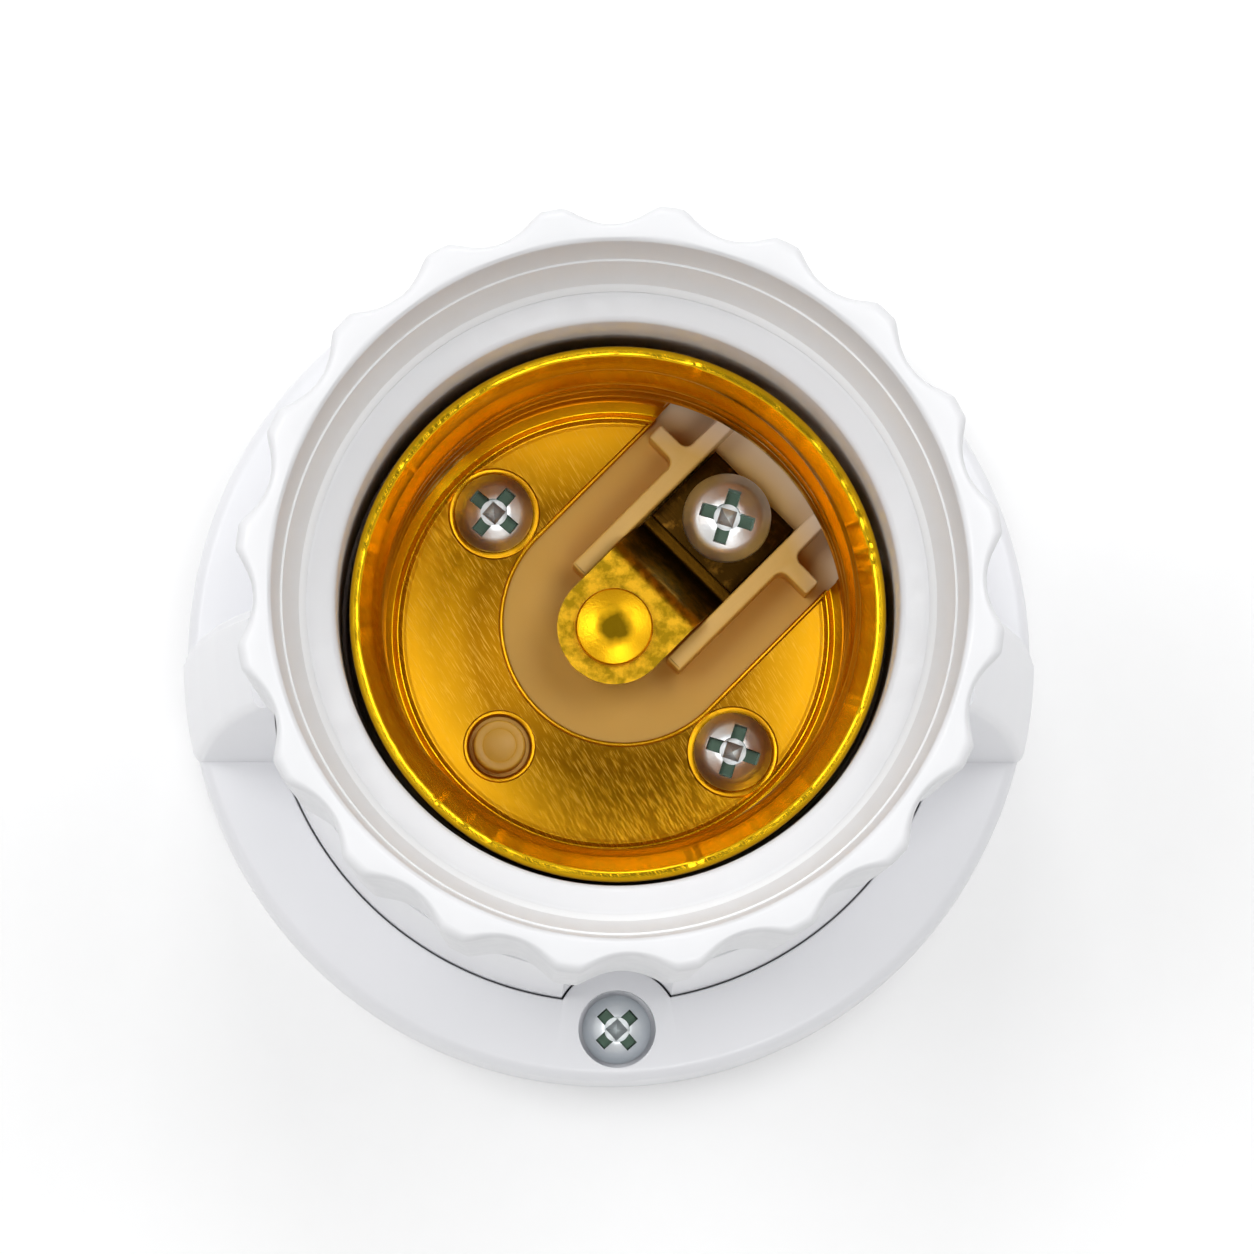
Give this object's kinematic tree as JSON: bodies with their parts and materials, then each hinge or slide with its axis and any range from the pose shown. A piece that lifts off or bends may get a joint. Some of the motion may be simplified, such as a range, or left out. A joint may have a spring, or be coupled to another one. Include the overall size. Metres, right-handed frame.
{
  "type": "lamp holder",
  "caption": "Surface-mounted white lamp holder: brass screw shell, sprung centre contact, fluted ring and a round base cover with two leaning wings.",
  "frame": {"origin": "centre of the base's underside, where the holder meets the ceiling or wall", "axes": "+Z out of the lamp mouth, +Y through the rear cover screw, +X through the right wing; the stored pose stands on its base with the mouth up, as the picture shows it"},
  "size_m": [0.0484, 0.0484, 0.07],
  "materials": {
    "white_plastic": "smooth moulded, satin gloss",
    "inner_plastic": "moulded beige insulator, dull",
    "plate_plastic": "moulded, plain",
    "brass": "rolled and pressed, bright with fine brushing",
    "contact_brass": "sheet strip, dulled",
    "zinc_steel": "zinc plated"
  },
  "bodies": {
    "holder": {"back_plate": "plate_plastic", "base_cover": "white_plastic", "holder_body": "white_plastic", "insulator": "inner_plastic", "screw_shell": "brass", "centre_contact": "contact_brass", "clamp_plate": "brass", "clamp_screw": "zinc_steel", "shell_screw_left": "zinc_steel", "shell_screw_right": "zinc_steel", "shell_nut": "zinc_steel", "live_terminal": "brass", "neutral_terminal": "brass", "live_wire_screw": "zinc_steel", "neutral_wire_screw": "zinc_steel", "cover_screw_front": "zinc_steel", "cover_screw_rear": "zinc_steel"},
    "guard": {"touch_guard": "white_plastic"},
    "ring": {"fluted_ring": "white_plastic"},
    "button": {"contact_button": "brass"}
  },
  "joints": [
    {"name": "ring_lift", "type": "slide", "parent": "holder", "child": "guard", "axis": [0, 0, 1], "range_m": [0, 0.00901]},
    {"name": "ring_turn", "type": "hinge", "parent": "guard", "child": "ring", "pos_m": [0, 0, 0.052], "axis": [0, 0, 1], "range_deg": [0, 1080]},
    {"name": "contact_press", "type": "slide", "parent": "holder", "child": "button", "axis": [0, 0, -1], "range_m": [0, 0.001], "stiffness_N_per_m": 5000, "deforming": ["centre_contact"]}
  ],
  "couplings": [
    {"joint": "ring_lift", "follows": "ring_turn", "m_per_rad": 0.00047746}
  ]
}
